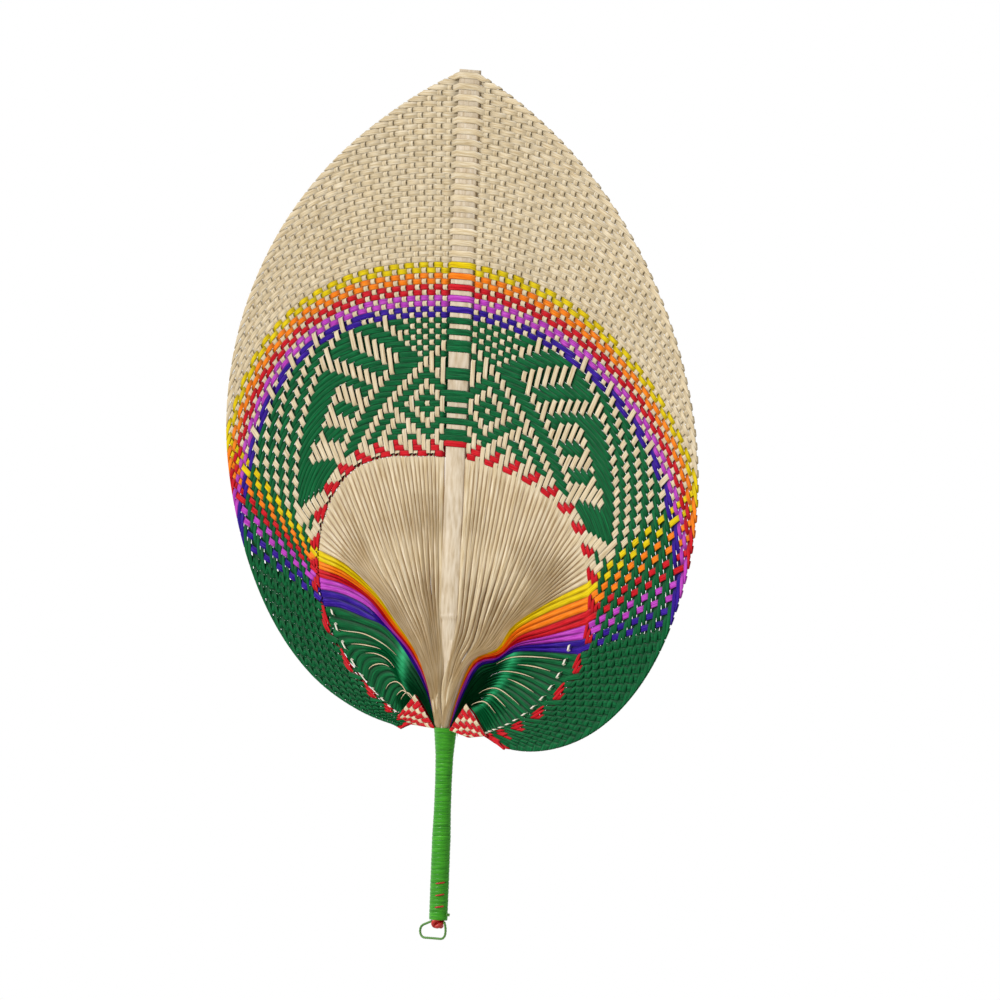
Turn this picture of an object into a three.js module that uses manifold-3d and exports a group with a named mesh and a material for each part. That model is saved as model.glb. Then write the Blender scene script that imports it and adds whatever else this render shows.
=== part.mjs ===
// A woven bamboo hand fan. Flat strips are laid across a bamboo spine, folded back at the edge
// of the leaf-shaped blade and gathered at the neck into a wound handle with a hanging loop.
// Millimetres, +Z up along the spine. The front of the blade faces -Y.
// The origin is the middle of the grip. Heights below are measured from the neck point,
// where the strips of both halves would meet.
import * as THREE from 'three';
import { mergeVertices } from 'three/addons/utils/BufferGeometryUtils.js';
import Module from 'manifold-3d';

const wasm = await Module();
wasm.setup();

// Driving dimensions
const GAP = 0.3; // clearance between neighbouring pieces
const BLADE_REACH = 281; // neck to the outermost strip at the tip
const RING_REACH = 115; // neck to the inner edge of the weave, on the spine
const STRIP_THICKNESS = 0.4;
const SLAT_WIDTH = 13.8;
const SLAT_THICKNESS = 1.6;
const SLAT_TIP_RISE = 1.2; // the spine stands this far out of the weave
const TANG_WIDTH = 3.6; // the spine's narrow end inside the handle
const HANDLE_LENGTH = 84;
const HANDLE_WIDTH = 10;
const HANDLE_DEPTH = 6.2;
const NECK_RISE = 5.6; // neck point above the top turn of the handle winding
const TAPE_THICKNESS = 0.9;
const TAPE_GAP = 0.45; // between one turn of the winding and the next
const SPINE_OFFSET = 6; // from the spine's axis to the point that each half's strips fan from
const CROWN_HEIGHT = 12; // the bound strip ends rise this far above the neck point
const CROWN_WIDTH = 11.2;
const CROWN_DEPTH = 4.8;
const THREAD_DIAMETER = 0.6;
const THREAD_PITCH = 5.2; // of the red thread's turns
const THREAD_START = 4; // of the red thread above the handle's end
const TAIL_DIAMETER = 0.9;
const CORD_DIAMETER = 1.1;
const KNOT_DIAMETER = 5.6;
const KNOT_HEIGHT = 4.7;
const LOOP_KNOT_DIAMETER = 1.8;
const LOOP_KNOT_RISE = 2.5; // above the handle's end
const TAIL_DROP = 3.6; // of the loose thread end at the top of the handle
const WEFT_WIDTH = 1.6; // the thin strip that steadies the strips inside each lobe

// Counts and angles
const STRIP_COUNT = 68; // strips in each half of the real blade, laid here in pairs
const STRIPS_PER_PAIR = 2;
const GREEN_PAIRS = 11;
const NATURAL_PAIRS = 17;
const TURNS = 24;
const THREAD_TURNS = 3;
const STEPS_PER_TURN = 16;
const TABLE_SPAN = 110; // degrees covered by the outline tables, from the spine downwards
const ARC_STEP = 10; // degrees

// The blade's edge and the weave's inner ring, every ten degrees from the spine, as shares of
// their reach along the spine. The right lobe is a little fuller than the left.
const EDGE_SHARES = {
  left: [1, 0.938, 0.882, 0.821, 0.747, 0.653, 0.535, 0.417, 0.299, 0.184, 0.108, 0.08],
  right: [1, 0.939, 0.88, 0.819, 0.757, 0.69, 0.612, 0.521, 0.429, 0.331, 0.226, 0.125],
};
const RING_SHARES = {
  left: [1, 1.009, 1.039, 1.055, 1.015, 0.915, 0.758, 0.55, 0.36, 0.245, 0.175, 0.136],
  right: [1, 0.988, 0.991, 1, 0.992, 0.942, 0.848, 0.722, 0.552, 0.386, 0.265, 0.2],
};
// The angle at which a strip folds, from the spine, as a share of the tables' span, for evenly
// spaced strips from the innermost to the outermost.
const FOLD_SHARES = {
  left: [0.991, 0.855, 0.7, 0.547, 0.457, 0.335, 0.225, 0.112, 0.0055],
  right: [1.018, 0.891, 0.759, 0.623, 0.486, 0.37, 0.252, 0.124, 0.0055],
};
// The spine's half-width: share of the blade's reach, share of the half-width.
const SLAT_SHARES = [
  [0.15, 0.77],
  [0.42, 0.88],
  [0.7, 1],
  [1, 0.93],
];
const TANG_TOP_SHARE = 0.08; // where the spine has narrowed to its tang
const FINGER_SHARES = [0.98, 1, 1, 1, 0.92, 0.9, 0.96, 1.24]; // handle width, bottom to top
const CROWN_SHARES = [
  [0.05, 1],
  [0.5, 0.9],
  [1, 0.52],
];
const CORNER_SHARE = 0.8; // of a strip pair's fold, where its pointed end stops
const JOIN_SHARE = 0.6; // of a strip pair's fold, where its two layers are joined
const GATHER_SHARE = 0.55; // of the ring's reach, where the strips start to crowd together
const NECK_SQUEEZE_SHARE = 0.62; // of a strip's angle that is left at the neck
const WEFT_SHARE = 0.88; // of the ring's reach
const WEFT_SPAN_SHARES = { left: [0.527, 0.945], right: [0.582, 0.973] };

const PLEAT_AT_NECK = 2;
const PLEAT_AT_RING = 0.3;
const SHEET_AT_NECK = 1.2;
const INSET = 0.15; // of the hidden join inside a fold

// Derived places
const NECK_Z = HANDLE_LENGTH / 2 + NECK_RISE;
const HANDLE_BOTTOM = -NECK_RISE - HANDLE_LENGTH;
const PAIR_COUNT = STRIP_COUNT / STRIPS_PER_PAIR;
const RADIAL_FRONT = -SLAT_THICKNESS / 2;
const RADIAL_BACK = RADIAL_FRONT + STRIP_THICKNESS;
const ARC_BACK = RADIAL_FRONT - GAP;
const ARC_FRONT = ARC_BACK - STRIP_THICKNESS;
const SIDES = { left: -1, right: 1 };

// The cord's route from one corner of the handle's end to the other, chosen by hand:
// across the fan, and up from the handle's end.
const LOOP_ROUTE = [
  [-4.0, -0.7],
  [-5.34, -1.17],
  [-6.68, -1.63],
  [-8.01, -2.1],
  [-9.35, -2.56],
  [-10.67, -3.49],
  [-11.28, -4.97],
  [-11.01, -6.56],
  [-9.95, -7.75],
  [-8.4, -8.2],
  [-6.8, -8.2],
  [-5.1, -8.2],
  [-3.3, -8.2],
  [-1.5, -8.2],
  [0.3, -8.2],
  [2.0, -8.2],
  [3.45, -7.81],
  [4.51, -6.75],
  [4.9, -5.3],
  [4.88, -3.8],
  [4.55, -2.25],
  [3.9, -0.7],
];

const COLOURS = {
  natural: 0xdecdaa,
  yellow: 0xe6c800,
  orange: 0xff820a,
  red: 0xcd0f1e,
  magenta: 0xbe3cbe,
  violet: 0x2d0a8c,
  green: 0x006432,
  winding: 0x3ca514,
  thread: 0xbe1414,
};

function material(colour, roughness) {
  return new THREE.MeshStandardMaterial({ color: COLOURS[colour], roughness, metalness: 0 });
}

const radians = THREE.MathUtils.degToRad;
const mix = THREE.MathUtils.lerp;

// Smooth value at a place from 0 to 1 in a table of evenly spaced entries.
function smooth(table, place) {
  const last = table.length - 1;
  const at = THREE.MathUtils.clamp(place, 0, 1) * last;
  const i = Math.min(Math.floor(at), last - 1);
  const before = table[Math.max(i - 1, 0)];
  const after = table[Math.min(i + 2, last)];
  const startSlope = (table[i + 1] - before) / (i > 0 ? 2 : 1);
  const endSlope = (after - table[i]) / (i + 2 <= last ? 2 : 1);
  const f = at - i;
  const rise = table[i + 1] - table[i];
  const curve = startSlope * (1 - f) ** 2 * f - endSlope * (1 - f) * f ** 2;
  return table[i] + rise * f * f * (3 - 2 * f) + curve;
}

// Straight-line value at a place in a table of [place, value] rows.
function between(rows, place) {
  const next = rows.findIndex(([at]) => at > place);
  if (next === 0) return rows[0][1];
  if (next < 0) return rows[rows.length - 1][1];
  const [a, b] = [rows[next - 1], rows[next]];
  return mix(a[1], b[1], (place - a[0]) / (b[0] - a[0]));
}

function edgeReach(side, degrees) {
  return BLADE_REACH * smooth(EDGE_SHARES[side], degrees / TABLE_SPAN);
}

function ringReach(side, degrees) {
  return RING_REACH * smooth(RING_SHARES[side], degrees / TABLE_SPAN);
}

function foldAngle(side, strip) {
  return TABLE_SPAN * smooth(FOLD_SHARES[side], strip / STRIP_COUNT);
}

// How many strips cross the blade at an angle: the inverse of foldAngle.
function stripsAt(side, degrees) {
  let low = 0;
  let high = STRIP_COUNT;
  for (let i = 0; i < 30; i += 1) {
    const middle = (low + high) / 2;
    if (foldAngle(side, middle) > degrees) low = middle;
    else high = middle;
  }
  return (low + high) / 2;
}

// How far out a strip's edge runs at an angle. Past its fold it follows the blade's edge.
function stripReach(side, degrees, strip) {
  const share = Math.min(strip / stripsAt(side, degrees), 1);
  return mix(ringReach(side, degrees), edgeReach(side, degrees), share);
}

// A place in one half of the blade, as [x, z], moved sideways towards the lower strips.
function bladePoint(side, degrees, reach, aside = 0) {
  const angle = radians(degrees);
  const across = SPINE_OFFSET + reach * Math.sin(angle) + aside * Math.cos(angle);
  const up = reach * Math.cos(angle) - aside * Math.sin(angle);
  return [SIDES[side] * across, NECK_Z + up];
}

function slatHalf(height) {
  const shares = [[TANG_TOP_SHARE, TANG_WIDTH / SLAT_WIDTH], ...SLAT_SHARES];
  return (SLAT_WIDTH / 2) * between(shares, height / BLADE_REACH);
}

// The handle's outer half-width and half-depth at a height.
function gripHalf(height) {
  const last = FINGER_SHARES.length - 1;
  const rows = FINGER_SHARES.map((share, i) => [i / last, share]);
  const share = between(rows, (height - HANDLE_BOTTOM) / HANDLE_LENGTH);
  return [(HANDLE_WIDTH / 2) * share, (HANDLE_DEPTH / 2) * share];
}

// A flat plate of an [x, z] outline between two depths.
function plate(outline, front, back) {
  const shape = new THREE.Shape(outline.map(([x, z]) => new THREE.Vector2(x, z)));
  const geometry = new THREE.ExtrudeGeometry(shape, { depth: back - front, bevelEnabled: false });
  geometry.rotateX(Math.PI / 2);
  geometry.translate(0, back, 0);
  return geometry;
}

function bare(geometry) {
  geometry.deleteAttribute('normal');
  geometry.deleteAttribute('uv');
  return mergeVertices(geometry, GAP / 1000);
}

function toSolid(geometry) {
  const clean = bare(geometry);
  const vertProperties = new Float32Array(clean.attributes.position.array);
  const triVerts = new Uint32Array(clean.index.array);
  return new wasm.Manifold(new wasm.Mesh({ numProp: 3, vertProperties, triVerts }));
}

function fromSolid(solid) {
  const mesh = solid.getMesh();
  const geometry = new THREE.BufferGeometry();
  geometry.setAttribute('position', new THREE.BufferAttribute(mesh.vertProperties, 3));
  geometry.setIndex(new THREE.BufferAttribute(mesh.triVerts, 1));
  return geometry;
}

// A closed body from points and triangles, turned so that its faces point out.
function closedBody(points, triangles) {
  let volume = 0;
  for (const [a, b, c] of triangles) {
    const [p, q, r] = [points[a], points[b], points[c]].map((v) => new THREE.Vector3(...v));
    volume += p.dot(q.cross(r));
  }
  const faces = volume < 0 ? triangles.map(([a, b, c]) => [a, c, b]) : triangles;
  const geometry = new THREE.BufferGeometry();
  geometry.setAttribute('position', new THREE.Float32BufferAttribute(points.flat(), 3));
  geometry.setIndex(faces.flat());
  geometry.computeVertexNormals();
  return geometry;
}

// A closed body through rings of [x, y, z] points that have the same count.
function loft(rings, flatPoint) {
  const count = rings[0].length;
  const points = rings.flat();
  const triangles = [];
  for (let ring = 0; ring < rings.length - 1; ring += 1) {
    for (let i = 0; i < count; i += 1) {
      const j = (i + 1) % count;
      const [a, b] = [ring * count + i, ring * count + j];
      triangles.push([a, b, b + count], [a, b + count, a + count]);
    }
  }
  const start = (rings.length - 1) * count;
  const ends = [rings[0], rings[rings.length - 1]];
  ends.forEach((ring, end) => {
    const flat = ring.map((p) => new THREE.Vector2(...flatPoint(p)));
    const clockwise = THREE.ShapeUtils.isClockWise(flat);
    for (const [a, b, c] of THREE.ShapeUtils.triangulateShape(flat, [])) {
      const sameWay = THREE.ShapeUtils.isClockWise([flat[a], flat[b], flat[c]]) === clockwise;
      const [p, q, r] = sameWay ? [a, b, c] : [c, b, a];
      triangles.push(end ? [start + p, start + q, start + r] : [r, q, p]);
    }
  });
  return closedBody(points, triangles);
}

// A thin sheet from two grids of points, its front and its back.
function sheet(front, back) {
  const rows = front.length;
  const columns = front[0].length;
  const points = [...front.flat(), ...back.flat()];
  const behind = rows * columns;
  const triangles = [];
  const quad = (a, b, c, d) => triangles.push([a, b, c], [a, c, d]);
  for (let i = 0; i < rows - 1; i += 1) {
    for (let j = 0; j < columns - 1; j += 1) {
      const a = i * columns + j;
      quad(a, a + 1, a + columns + 1, a + columns);
      quad(behind + a, behind + a + columns, behind + a + columns + 1, behind + a + 1);
    }
  }
  for (let j = 0; j < columns - 1; j += 1) {
    const last = (rows - 1) * columns + j;
    quad(j + 1, j, behind + j, behind + j + 1);
    quad(last, last + 1, behind + last + 1, behind + last);
  }
  for (let i = 0; i < rows - 1; i += 1) {
    const a = i * columns;
    const b = a + columns - 1;
    quad(a, a + columns, behind + a + columns, behind + a);
    quad(b + columns, b, behind + b, behind + b + columns);
  }
  return closedBody(points, triangles);
}

// The angle at which a strip pair's crossing part stops, near the end of its fold.
function arcEnd(side, pair) {
  const inner = pair * STRIPS_PER_PAIR;
  return mix(foldAngle(side, inner + STRIPS_PER_PAIR), foldAngle(side, inner), CORNER_SHARE);
}

// The angles at which the line between a strip pair and the next one inwards has a corner.
// Both pairs share them, so that their edges run side by side.
function seamAngles(side, pair) {
  const fold = foldAngle(side, Math.min((pair + 1) * STRIPS_PER_PAIR, STRIP_COUNT));
  const count = Math.max(Math.ceil(fold / ARC_STEP - 1 / 5), 1);
  const even = Array.from({ length: count }, (_, i) => i * ARC_STEP);
  return pair === PAIR_COUNT ? [...even, fold] : [...even, fold, arcEnd(side, pair)];
}

// The part of a strip pair that crosses the front of the blade, from fold to fold.
function arcOutline(pair) {
  const inner = pair * STRIPS_PER_PAIR;
  const outer = inner + STRIPS_PER_PAIR;
  const half = (side) => {
    const end = arcEnd(side, pair);
    const fold = foldAngle(side, outer);
    const seam = seamAngles(side, pair + 1);
    const rim = pair + 1 < PAIR_COUNT ? [...seam, fold, end] : [...seam, end];
    const reach = (angle, strip, aside) =>
      bladePoint(side, angle, stripReach(side, angle, strip) + aside);
    return {
      out: rim.map((angle) => reach(angle, outer, -GAP / 2)),
      back: seamAngles(side, pair).map((angle) => reach(angle, inner, GAP / 2)),
    };
  };
  const [right, left] = [half('right'), half('left')];
  return [...right.out, ...right.back.reverse(), ...left.back, ...left.out.reverse()];
}

// The part of a strip pair that runs from a fold to the neck, behind the crossing parts.
function radialOutline(side, pair) {
  const inner = pair * STRIPS_PER_PAIR;
  const top = foldAngle(side, inner + STRIPS_PER_PAIR);
  const bottom = foldAngle(side, inner);
  const middle = (top + bottom) / 2;
  const start = (angle) => GATHER_SHARE * ringReach(side, angle) + GAP / 2;
  const end = (angle) => edgeReach(side, angle) - GAP / 2;
  return [
    bladePoint(side, top, start(top), GAP / 2),
    bladePoint(side, top, end(top), GAP / 2),
    bladePoint(side, middle, end(middle)),
    bladePoint(side, bottom, end(bottom), -GAP / 2),
    bladePoint(side, bottom, start(bottom), -GAP / 2),
  ];
}

// The fold itself, inside the corner where both layers of a strip pair lie over each other.
function foldOutline(side, pair) {
  const inner = pair * STRIPS_PER_PAIR;
  const top = foldAngle(side, inner + STRIPS_PER_PAIR);
  const bottom = mix(top, foldAngle(side, inner), JOIN_SHARE);
  const margin = GAP / 2 + INSET;
  const low = (angle) => stripReach(side, angle, inner) + margin;
  const high = (angle) => edgeReach(side, angle) - margin;
  return [
    bladePoint(side, top, low(top), margin),
    bladePoint(side, top, high(top), margin),
    bladePoint(side, bottom, high(bottom)),
    bladePoint(side, bottom, low(bottom)),
  ];
}

function stripPair(pair) {
  const foldFront = ARC_FRONT + STRIP_THICKNESS / 2;
  const foldBack = RADIAL_BACK - STRIP_THICKNESS / 2;
  let solid = toSolid(plate(arcOutline(pair), ARC_FRONT, ARC_BACK));
  for (const side of Object.keys(SIDES)) {
    solid = solid.add(toSolid(plate(radialOutline(side, pair), RADIAL_FRONT, RADIAL_BACK)));
    solid = solid.add(toSolid(plate(foldOutline(side, pair), foldFront, foldBack)));
  }
  return fromSolid(solid);
}

// The crowded inner runs of a group of strips: a pleated sheet that deepens towards the neck.
function gatherSheet(side, firstStrip, lastStrip) {
  const levels = [0, 1 / 3, 2 / 3, 1];
  const wall = slatHalf(0) + GAP;
  const rays = [];
  for (let strip = firstStrip; strip <= lastStrip; strip += 1) {
    const angle = foldAngle(side, strip);
    const ridge = strip % 2 ? -1 : 1;
    const trim = mix(-GAP / 2, GAP / 2, (strip - firstStrip) / (lastStrip - firstStrip));
    rays.push({ angle, ridge, trim });
  }
  const place = ({ angle, trim }, level) => {
    const squeezed = radians(angle * NECK_SQUEEZE_SHARE);
    const beside = CROWN_WIDTH / 2 + GAP - wall;
    const start = 1 / Math.hypot(Math.cos(squeezed) / (CROWN_HEIGHT + GAP), Math.sin(squeezed) / beside);
    const reach = mix(start, GATHER_SHARE * ringReach(side, angle) - 2 * GAP, level);
    const turned = radians(angle * mix(NECK_SQUEEZE_SHARE, 1, level));
    const up = reach * Math.cos(turned) - trim * Math.sin(turned);
    const offset = mix(slatHalf(up) + GAP, SPINE_OFFSET, level);
    const across = offset + reach * Math.sin(turned) + trim * Math.cos(turned);
    return [SIDES[side] * across, NECK_Z + up];
  };
  const grid = (face) =>
    rays.map((ray) =>
      levels.map((level) => {
        const middle = mix(0, (RADIAL_FRONT + RADIAL_BACK) / 2, level);
        const pleat = mix(PLEAT_AT_NECK, PLEAT_AT_RING, level) / 2;
        const half = mix(SHEET_AT_NECK, STRIP_THICKNESS, level) / 2;
        const [x, z] = place(ray, level);
        return [x, middle + ray.ridge * pleat + face * half, z];
      }),
    );
  return sheet(grid(-1), grid(1));
}

// A thin strip woven through the gathered strips inside a lobe.
function lobeWeft(side) {
  const [start, end] = WEFT_SPAN_SHARES[side].map((share) => share * TABLE_SPAN);
  const steps = 6;
  const run = (aside) =>
    Array.from({ length: steps + 1 }, (_, i) => {
      const angle = mix(start, end, i / steps);
      return bladePoint(side, angle, WEFT_SHARE * ringReach(side, angle) + aside);
    });
  const outline = [...run(WEFT_WIDTH / 2), ...run(-WEFT_WIDTH / 2).reverse()];
  return plate(outline, ARC_FRONT, ARC_BACK);
}

function spineSlat() {
  const foot = HANDLE_BOTTOM + TAPE_GAP;
  const tip = BLADE_REACH + SLAT_TIP_RISE;
  const shares = [TANG_TOP_SHARE, ...SLAT_SHARES.map(([share]) => share)];
  const heights = shares.map((share) => share * BLADE_REACH);
  heights[heights.length - 1] = tip;
  const right = [foot, ...heights].map((height) => [slatHalf(height), NECK_Z + height]);
  const left = right.map(([x, z]) => [-x, z]).reverse();
  return plate([...right, ...left], -SLAT_THICKNESS / 2, SLAT_THICKNESS / 2);
}

// One half of the bound strip ends, with a slot for the spine's tang.
function stripEnds(side) {
  const seat = TAPE_THICKNESS + GAP;
  const last = FINGER_SHARES.length - 1;
  const wound = FINGER_SHARES.map((_, i) => {
    const height = HANDLE_BOTTOM + (HANDLE_LENGTH * i) / last;
    const [a, b] = gripHalf(height);
    return [height, a - seat, b - seat];
  });
  wound[0][0] += TAPE_GAP;
  const crown = CROWN_SHARES.map(([rise, share]) => [
    CROWN_HEIGHT * rise,
    (CROWN_WIDTH / 2) * share,
    (CROWN_DEPTH / 2) * share ** (1 / 2),
  ]);
  const slotHalf = TANG_WIDTH / 2 + GAP;
  const slotDeep = SLAT_THICKNESS / 2 + GAP;
  const steps = 8;
  const rings = [...wound, ...crown].map(([height, a, b]) => {
    const start = Math.asin(GAP / 2 / a);
    const rim = Array.from({ length: steps + 1 }, (_, i) => {
      const angle = mix(start, Math.PI - start, i / steps);
      return [a * Math.sin(angle), -b * Math.cos(angle)];
    });
    const slot = [
      [GAP / 2, slotDeep],
      [slotHalf, slotDeep],
      [slotHalf, -slotDeep],
      [GAP / 2, -slotDeep],
    ];
    return [...rim, ...slot].map(([x, y]) => [SIDES[side] * x, y, NECK_Z + height]);
  });
  return loft(rings, ([x, y]) => [x, y]);
}

// The corners of the winding's tape at each step, and the least gap between its turns.
function windingRings() {
  const pitch = (HANDLE_LENGTH + TAPE_GAP) / (TURNS + 1);
  const width = pitch - TAPE_GAP;
  const chamfer = TAPE_THICKNESS / 2;
  const rings = [];
  for (let i = 0; i <= TURNS * STEPS_PER_TURN; i += 1) {
    const turn = i / STEPS_PER_TURN;
    const angle = turn * 2 * Math.PI;
    const height = HANDLE_BOTTOM + width / 2 + turn * pitch;
    const corner = (rise, sunk) => {
      const [a, b] = gripHalf(height + rise);
      const [x, y] = [(a - sunk) * Math.cos(angle), (b - sunk) * Math.sin(angle)];
      return [x, y, NECK_Z + height + rise];
    };
    rings.push([
      corner(-width / 2, TAPE_THICKNESS),
      corner(chamfer - width / 2, 0),
      corner(width / 2 - chamfer, 0),
      corner(width / 2, TAPE_THICKNESS),
    ]);
  }
  return rings;
}

function leastGap(rings) {
  let least = Infinity;
  for (let i = STEPS_PER_TURN; i < rings.length; i += 1) {
    for (const below of rings[i - STEPS_PER_TURN]) {
      for (const above of rings[i]) {
        const apart = new THREE.Vector3(...below).distanceTo(new THREE.Vector3(...above));
        least = Math.min(least, apart);
      }
    }
  }
  return least;
}

function handleWinding() {
  const rings = windingRings();
  console.log(`Least gap of the handle winding to itself: ${leastGap(rings).toFixed(2)} mm`);
  return loft(rings, ([x, , z]) => [x, z]);
}

function tube(points, diameter, sides, steps) {
  const curve = new THREE.CatmullRomCurve3(points.map((p) => new THREE.Vector3(...p)));
  const corners = Array.from({ length: sides }, (_, i) => {
    const angle = (i * 2 * Math.PI) / sides;
    return new THREE.Vector2(Math.cos(angle), Math.sin(angle)).multiplyScalar(diameter / 2);
  });
  const shape = new THREE.Shape(corners);
  return new THREE.ExtrudeGeometry(shape, { steps, extrudePath: curve, bevelEnabled: false });
}

// The red thread that is wound round the lower end of the handle.
function redThread() {
  const points = [];
  for (let i = 0; i <= THREAD_TURNS * STEPS_PER_TURN; i += 1) {
    const turn = i / STEPS_PER_TURN;
    const angle = Math.PI + turn * 2 * Math.PI;
    const height = HANDLE_BOTTOM + THREAD_START + turn * THREAD_PITCH;
    const [a, b] = gripHalf(height);
    const clear = GAP + THREAD_DIAMETER / 2;
    points.push([(a + clear) * Math.cos(angle), (b + clear) * Math.sin(angle), NECK_Z + height]);
  }
  return tube(points, THREAD_DIAMETER, 5, THREAD_TURNS * STEPS_PER_TURN);
}

// The loose end of the winding at the top of the handle.
function threadTail() {
  const [a] = gripHalf(-NECK_RISE);
  const start = a + GAP + TAIL_DIAMETER / 2;
  const points = [
    [start, 0, NECK_Z - NECK_RISE],
    [start + TAIL_DROP / 3, 0, NECK_Z - NECK_RISE - TAIL_DROP / 2],
    [start + TAIL_DROP / 2, 0, NECK_Z - NECK_RISE - TAIL_DROP],
  ];
  return tube(points, TAIL_DIAMETER, 6, 5);
}

function endKnot() {
  const geometry = new THREE.SphereGeometry(KNOT_DIAMETER / 2, 12, 8);
  geometry.rotateX(Math.PI / 2);
  geometry.scale(1, 1, KNOT_HEIGHT / KNOT_DIAMETER);
  const height = HANDLE_BOTTOM - GAP - KNOT_HEIGHT / 2 + TAPE_GAP;
  geometry.translate(0, 0, NECK_Z + height);
  return geometry;
}

function loopKnot() {
  const height = HANDLE_BOTTOM + LOOP_KNOT_RISE;
  const [a] = gripHalf(height);
  const geometry = new THREE.SphereGeometry(LOOP_KNOT_DIAMETER / 2, 8, 6);
  geometry.translate(a + GAP + LOOP_KNOT_DIAMETER / 2, 0, NECK_Z + height);
  return geometry;
}

function hangLoop() {
  const points = LOOP_ROUTE.map(([x, up]) => [x, 0, NECK_Z + HANDLE_BOTTOM + up]);
  return tube(points, CORD_DIAMETER, 8, 20);
}

const fan = new THREE.Group();

function add(name, geometry, colour, roughness) {
  const mesh = new THREE.Mesh(geometry, material(colour, roughness));
  mesh.name = name;
  fan.add(mesh);
}

function stripNames() {
  const numbered = (name, count) =>
    Array.from({ length: count }, (_, i) => `${name}_strips_${String(i + 1).padStart(2, '0')}`);
  const single = ['violet', 'magenta', 'red', 'orange', 'yellow'];
  return [
    ['ring_strips', 'red'],
    ...numbered('green', GREEN_PAIRS).map((name) => [name, 'green']),
    ...single.map((colour) => [`${colour}_strips`, colour]),
    ...numbered('natural', NATURAL_PAIRS).map((name) => [name, 'natural']),
  ];
}

function addBlade() {
  stripNames().forEach(([name, colour], pair) => add(name, stripPair(pair), colour, 0.5));
  const greenEnd = (1 + GREEN_PAIRS) * STRIPS_PER_PAIR;
  const naturalStart = (PAIR_COUNT - NATURAL_PAIRS) * STRIPS_PER_PAIR;
  for (const side of Object.keys(SIDES)) {
    add(`green_gather_${side}`, gatherSheet(side, 0, greenEnd), 'green', 0.5);
    add(`coloured_gather_${side}`, gatherSheet(side, greenEnd, naturalStart), 'orange', 0.5);
    add(`natural_gather_${side}`, gatherSheet(side, naturalStart, STRIP_COUNT), 'natural', 0.6);
    add(`lobe_weft_${side}`, lobeWeft(side), 'natural', 0.6);
  }
  add('spine_slat', spineSlat(), 'natural', 0.45);
}

function addHandle() {
  add('strip_ends_left', stripEnds('left'), 'natural', 0.6);
  add('strip_ends_right', stripEnds('right'), 'natural', 0.6);
  add('handle_winding', handleWinding(), 'winding', 0.35);
  add('red_thread', redThread(), 'thread', 0.5);
  add('thread_tail', threadTail(), 'winding', 0.5);
  add('end_knot', endKnot(), 'thread', 0.45);
  add('loop_knot', loopKnot(), 'green', 0.5);
  add('hang_loop', hangLoop(), 'green', 0.5);
}

addBlade();
addHandle();

export default fan;
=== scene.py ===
"""A woven bamboo hand fan. Flat strips cross a bamboo slat as arcs, fold at the edge of the
blade and run back as radials to the neck, where a wound handle takes their ends.
Sizes are in millimetres and are turned to metres as meshes are made. +Z is up, the front
faces -Y. Heights and reaches are measured from the neck point."""
import math
import random

import bpy
import numpy as np
from mathutils import Matrix, Vector


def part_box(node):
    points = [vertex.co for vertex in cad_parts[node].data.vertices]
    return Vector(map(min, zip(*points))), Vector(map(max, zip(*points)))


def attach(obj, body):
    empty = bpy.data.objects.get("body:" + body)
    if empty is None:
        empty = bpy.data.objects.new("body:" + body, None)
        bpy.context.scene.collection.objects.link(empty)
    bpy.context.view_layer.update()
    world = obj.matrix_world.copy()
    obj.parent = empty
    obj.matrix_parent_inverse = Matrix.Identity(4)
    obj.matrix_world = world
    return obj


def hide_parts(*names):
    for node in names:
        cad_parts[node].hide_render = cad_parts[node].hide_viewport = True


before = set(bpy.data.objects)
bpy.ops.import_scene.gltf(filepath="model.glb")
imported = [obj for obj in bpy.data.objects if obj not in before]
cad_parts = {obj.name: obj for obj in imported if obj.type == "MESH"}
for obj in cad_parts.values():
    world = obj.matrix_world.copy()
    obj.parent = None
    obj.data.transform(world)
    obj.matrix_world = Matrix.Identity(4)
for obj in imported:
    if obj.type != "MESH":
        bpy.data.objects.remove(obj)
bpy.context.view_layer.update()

MM = 0.001
SIDES = {"left": -1, "right": 1}

# Sizes that the blade shares with its frame
BLADE_REACH = 281
RING_REACH = 115
SLAT_WIDTH = 13.8
SLAT_THICKNESS = 1.6
SLAT_TIP_RISE = 1.2
TANG_WIDTH = 3.6
HANDLE_LENGTH = 84
HANDLE_WIDTH = 10
HANDLE_DEPTH = 6.2
NECK_RISE = 5.6
SPINE_OFFSET = 6
CORD_DIAMETER = 1.1
STRIP_COUNT = 68
TABLE_SPAN = 110
NECK_Z = HANDLE_LENGTH / 2 + NECK_RISE
HANDLE_BOTTOM = -NECK_RISE - HANDLE_LENGTH

# Shares of the reaches above at even steps of angle from straight up to TABLE_SPAN, and shares of
# TABLE_SPAN where the strips fold, from the innermost strip to the outermost
EDGE_SHARES = {
    "left": [1, 0.938, 0.882, 0.821, 0.747, 0.653, 0.535, 0.417, 0.299, 0.184, 0.108, 0.08],
    "right": [1, 0.939, 0.88, 0.819, 0.757, 0.69, 0.612, 0.521, 0.429, 0.331, 0.226, 0.125],
}
RING_SHARES = {
    "left": [1, 1.009, 1.039, 1.055, 1.015, 0.915, 0.758, 0.55, 0.36, 0.245, 0.175, 0.136],
    "right": [1, 0.988, 0.991, 1, 0.992, 0.942, 0.848, 0.722, 0.552, 0.386, 0.265, 0.2],
}
FOLD_SHARES = {
    "left": [0.991, 0.855, 0.7, 0.547, 0.457, 0.335, 0.225, 0.112, 0.0055],
    "right": [1.018, 0.891, 0.759, 0.623, 0.486, 0.37, 0.252, 0.124, 0.0055],
}
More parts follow.
